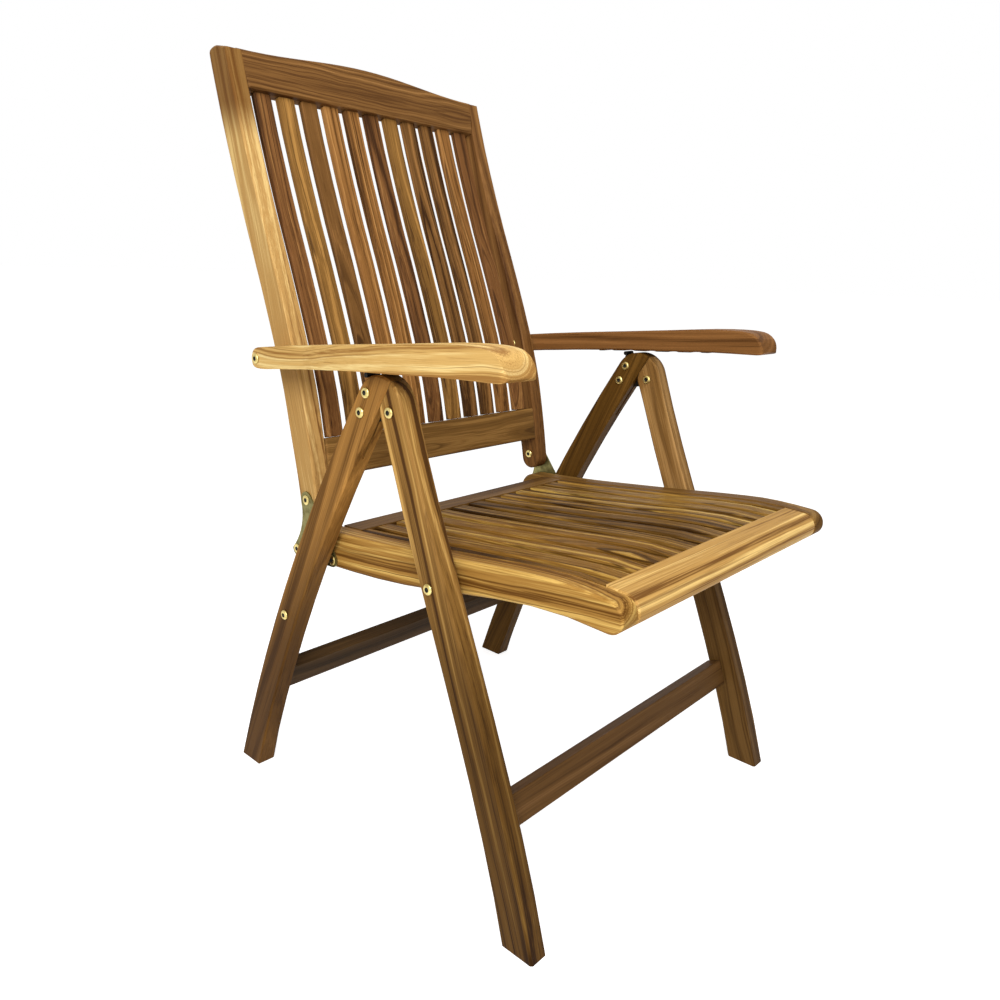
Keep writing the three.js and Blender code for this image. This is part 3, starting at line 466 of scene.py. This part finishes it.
def hexagon_share(i):
    """Reach of a hexagon's edge at one of HEAD_SIDES angles, as a share of its corner's reach."""
    angle = (2 * math.pi * i / HEAD_SIDES) % (math.pi / 3) - math.pi / 6
    return math.cos(math.pi / 6) / math.cos(angle)


def turned_rings(made, centre, profile, socket_from=None):
    """Lathe about an X line through centre, from (radius, x, hexagonal) rings.

    Faces from the ring socket_from on get the second finish.
    """
    rings = []
    for radius, x, hexagonal in profile:
        ring = []
        for i in range(HEAD_SIDES):
            angle = 2 * math.pi * i / HEAD_SIDES
            reach = radius * (hexagon_share(i) if hexagonal else 1)
            y = centre[0] + reach * math.cos(angle)
            z = centre[1] + reach * math.sin(angle)
            ring.append(made.verts.new((x, y, z)))
        rings.append(ring)
    for k in range(len(rings) - 1):
        for i in range(HEAD_SIDES):
            j = (i + 1) % HEAD_SIDES
            face = made.faces.new((rings[k][i], rings[k][j], rings[k + 1][j], rings[k + 1][i]))
            face.material_index = 1 if socket_from is not None and k >= socket_from else 0
            face.smooth = True
    for ring in (rings[0], rings[-1]):
        face = made.faces.new(ring)
        face.material_index = 1 if socket_from is not None and ring is rings[-1] else 0


def bolt_head(made, centre, seat_x, outward, height):
    """Domed head with a rolled rim and a six-sided key socket, standing on the plane seat_x."""
    r = HEAD_RADIUS
    s = SOCKET_RADIUS
    profile = [
        (SHANK_RADIUS, 0, False), (r, 0, False), (r, 0.28, False), (0.965 * r, 0.52, False),
        (0.88 * r, 0.75, False),
        (0.76 * r, 0.92, False), (0.62 * r, 1, False), (1.1 * s, 0.97, False), (1.02 * s, 0.9, True),
        (s, 0.8, True), (s, 1 - SOCKET_DEPTH_SHARE, True), (0.3 * s, 0.12, False)
    ]
    turned_rings(made, centre, [(a, seat_x + outward * height * b, c) for a, b, c in profile], 7)


def bolt(made, centre, low_x, high_x, low_height, high_height):
    """Bolt between two planes with a head at each end; a head of height 0 is left off."""
    turned_rings(made, centre, [(SHANK_RADIUS, low_x, False), (SHANK_RADIUS, high_x, False)])
    if low_height:
        bolt_head(made, centre, low_x, -1, low_height)
    if high_height:
        bolt_head(made, centre, high_x, 1, high_height)


def fitting(name, made, finishes, replaced):
    """A finished piece that stands for a CAD node, rides where it rides and hides the CAD node."""
    bmesh.ops.recalc_face_normals(made, faces=made.faces)
    mesh = bpy.data.meshes.new(name)
    made.to_mesh(mesh)
    made.free()
    for finish in finishes:
        mesh.materials.append(finish)
    obj = bpy.data.objects.new(name, mesh)
    bpy.context.scene.collection.objects.link(obj)
    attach(obj, nodes[replaced]["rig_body"])
    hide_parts(replaced)


def centre_of(name):
    middle = middle_of(name)
    return (middle.y, middle.z)


def bolt_for(name, inner_height, shoulder=None):
    """Fine bolt in the place of a CAD bolt; its outer head is a full one, its inner one has inner_height."""
    low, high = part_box(name)
    side = 1 if low.x > 0 else -1
    low_height, high_height = (inner_height, HEAD_HEIGHT) if side > 0 else (HEAD_HEIGHT, inner_height)
    made = bmesh.new()
    bolt(made, centre_of(name), low.x + low_height, high.x - high_height, low_height, high_height)
    if shoulder:
        ends = sorted(side * v for v in shoulder)
        turned_rings(made, centre_of(name), [(HEAD_RADIUS, v, False) for v in ends])
    fitting(name + "_fine", made, (brass, socket_painted_shadow), name)


def plate_of(node, from_x, to_x):
    """The flat part of a CAD fitting between two distances from the chair's middle, its bolts cut away."""
    made = bmesh.new()
    made.from_mesh(nodes[node].data)
    bmesh.ops.remove_doubles(made, verts=made.verts, dist=0.01 * MM)
    outside = [v for v in made.verts if not from_x - 0.1 * MM < abs(v.co.x) < to_x + 0.1 * MM]
    bmesh.ops.delete(made, geom=outside, context="VERTS")
    for face in made.faces:
        face.material_index = 2
        face.smooth = False
    return made


LEG_INNER_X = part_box("front_leg_left")[0].x
LEG_OUTER_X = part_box("front_leg_left")[1].x
LEG_MIDDLE_X = (LEG_INNER_X + LEG_OUTER_X) / 2
SEATED_GAP = 0.3 * MM
CATCH_PIN_REACH = 10 * MM
BRACKET_X = (255.3 * MM, 257.5 * MM)
RAIL_INNER_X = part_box("seat_rail_left")[0].x
joint_place = {joint["name"]: joint["pos_m"] for joint in frame["joints"]}
fold_pivot = joint_place["leg_fold"]
back_pivot = joint_place["back_fold"]
PLATE_BOLTS = [(42.9 * MM, 18.5 * MM), (53.3 * MM, -6.9 * MM)]
BRACKET_FRONT = (-59 * MM, -73 * MM)
BRACKET_TAIL = (23 * MM, -77 * MM)

for side, word in ((1, "left"), (-1, "right")):
    bolt_for("leg_pivot_bolt_" + word, HEAD_HEIGHT)
    bolt_for("link_bolt_" + word, LOW_HEAD_HEIGHT)
    bolt_for("arm_pivot_bolt_" + word, HEAD_HEIGHT)
    bolt_for("seat_pivot_bolt_" + word, LOW_HEAD_HEIGHT, (BRACKET_X[0], LEG_INNER_X - SEATED_GAP))

    # the back pivot's full head is on the inner side, its low one outside
    name = "back_pivot_bolt_" + word
    low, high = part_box(name)
    heights = (HEAD_HEIGHT, LOW_HEAD_HEIGHT) if side > 0 else (LOW_HEAD_HEIGHT, HEAD_HEIGHT)
    made = bmesh.new()
    bolt(made, centre_of(name), low.x + heights[0], high.x - heights[1], *heights)
    fitting(name + "_fine", made, (brass, socket_painted_shadow), name)

    # hinge plate with its two fixing bolts and catch pin
    name = "hinge_plate_" + word
    made = plate_of(name, LEG_MIDDLE_X - CATCH_PIN_REACH, LEG_MIDDLE_X + CATCH_PIN_REACH)
    ends = sorted((side * (LEG_INNER_X - SEATED_GAP), side * (LEG_OUTER_X + SEATED_GAP)))
    for reach in PLATE_BOLTS:
        place = (fold_pivot[1] + reach[0], fold_pivot[2] + reach[1])
        bolt(made, place, *ends, HEAD_HEIGHT, HEAD_HEIGHT)
    fitting(name + "_fine", made, (brass, socket_painted_shadow, dark_steel), name)

    # back bracket with its fixing bolt and tail stub
    name = "back_bracket_" + word
    made = plate_of(name, *BRACKET_X)
    for reach, inner, inner_height in (
        (BRACKET_FRONT, RAIL_INNER_X, HEAD_HEIGHT), (BRACKET_TAIL, BRACKET_X[0], LOW_HEAD_HEIGHT)
    ):
        place = (back_pivot[1] + reach[0], back_pivot[2] + reach[1])
        ends = sorted((side * (inner - SEATED_GAP), side * (BRACKET_X[1] + SEATED_GAP)))
        heights = (inner_height, LOW_HEAD_HEIGHT) if side > 0 else (LOW_HEAD_HEIGHT, inner_height)
        bolt(made, place, *ends, *heights)
    fitting(name + "_fine", made, (brass, socket_painted_shadow, olive_plate), name)

    dress("link_" + word, dark_steel, STEEL_EASE)
    dress("arm_rack_" + word, dark_steel, STEEL_EASE)
    dress("arm_washer_" + word, brass, WASHER_EASE)


# Studio

FLOOR_HALF_SIZE = 60
FLOOR_DROP = 0.5 * MM
FLOOR_GLOW = 0.78
SOFT_LIGHT = 0.32
CHAIR_MIDDLE = (0, 0, 0.6)

def lamp(name, place, aim, size, power):
    data = bpy.data.lights.new(name, "AREA")
    data.shape = "RECTANGLE"
    data.size, data.size_y = size
    data.energy = power
    obj = bpy.data.objects.new(name, data)
    obj.location = place
    obj.rotation_mode = "QUATERNION"
    obj.rotation_quaternion = (Vector(aim) - Vector(place)).to_track_quat("-Z", "Y")
    bpy.context.scene.collection.objects.link(obj)


def seen_directly(tree):
    """1 where a camera, mirror or see-through ray looks, else 0."""
    path = add(tree, "ShaderNodeLightPath")
    seen = maths(tree, "MAXIMUM", path.outputs["Is Camera Ray"], path.outputs["Is Glossy Ray"])
    return maths(tree, "MAXIMUM", seen, path.outputs["Is Transmission Ray"])


def floor():
    """Pale floor: it shows white, and keeps the chair's soft shadow."""
    mesh = bpy.data.meshes.new("studio_floor")
    made = bmesh.new()
    bmesh.ops.create_grid(made, x_segments=2, y_segments=2, size=FLOOR_HALF_SIZE)
    made.to_mesh(mesh)
    made.free()
    obj = bpy.data.objects.new("studio_floor", mesh)
    obj.location = (0, 0, -FLOOR_DROP)
    bpy.context.scene.collection.objects.link(obj)
    finish = bpy.data.materials.new("pale_floor")
    finish.use_nodes = True
    tree = finish.node_tree
    tree.nodes.clear()
    matt = add(tree, "ShaderNodeBsdfDiffuse", {"Color": (0.8, 0.8, 0.8, 1)})
    glow = add(tree, "ShaderNodeEmission", {"Color": (1, 1, 1, 1)})
    link(tree, maths(tree, "MULTIPLY", seen_directly(tree), FLOOR_GLOW), glow.inputs["Strength"])
    both = add(tree, "ShaderNodeAddShader")
    link(tree, matt.outputs[0], both.inputs[0])
    link(tree, glow.outputs[0], both.inputs[1])
    link(tree, both.outputs[0], add(tree, "ShaderNodeOutputMaterial").inputs[0])
    mesh.materials.append(finish)


def studio_world():
    world = bpy.data.worlds.new("studio_world")
    bpy.context.scene.world = world
    world.use_nodes = True
    tree = world.node_tree
    tree.nodes.clear()
    soft = add(tree, "ShaderNodeBackground", {"Color": (1, 1, 1, 1), "Strength": SOFT_LIGHT})
    white = add(tree, "ShaderNodeBackground", {"Color": (1, 1, 1, 1), "Strength": 1.0})
    choose = add(tree, "ShaderNodeMixShader")
    link(tree, seen_directly(tree), choose.inputs[0])
    link(tree, soft.outputs[0], choose.inputs[1])
    link(tree, white.outputs[0], choose.inputs[2])
    link(tree, choose.outputs[0], add(tree, "ShaderNodeOutputWorld").inputs[0])


floor()
studio_world()
lamp("key_softbox", (-1.9, -1.5, 1.9), CHAIR_MIDDLE, (1.2, 1.2), 62)
lamp("top_softbox", (-0.2, -0.6, 2.6), CHAIR_MIDDLE, (1.6, 1.6), 18)


# Camera, matched to the photograph

CAMERA_PLACE = (-0.920663, -0.799071, 0.759523)
CAMERA_DEGREES = (-47.712, 12.096, 1.989)
SENSOR_WIDTH_MM = 36.0
LENS_MM = 30.104
LENS_SHIFT = (0.0089, -0.0495)


def camera():
    """Camera at CAMERA_PLACE, turned by azimuth, elevation and roll."""
    azimuth, elevation, roll = (math.radians(v) for v in CAMERA_DEGREES)
    flat = math.cos(elevation)
    back = Vector((math.sin(azimuth) * flat, -math.cos(azimuth) * flat, math.sin(elevation)))
    level = Vector((0, 0, 1)).cross(back).normalized()
    upward = back.cross(level)
    right = math.cos(roll) * level + math.sin(roll) * upward
    up = -math.sin(roll) * level + math.cos(roll) * upward
    data = bpy.data.cameras.new("photo_camera")
    data.sensor_width = SENSOR_WIDTH_MM
    data.lens = LENS_MM
    data.shift_x, data.shift_y = LENS_SHIFT
    obj = bpy.data.objects.new("photo_camera", data)
    turn = Matrix((right, up, back)).transposed().to_4x4()
    obj.matrix_world = Matrix.Translation(CAMERA_PLACE) @ turn
    bpy.context.scene.collection.objects.link(obj)
    bpy.context.scene.camera = obj


camera()
bpy.context.scene.view_settings.view_transform = "Standard"
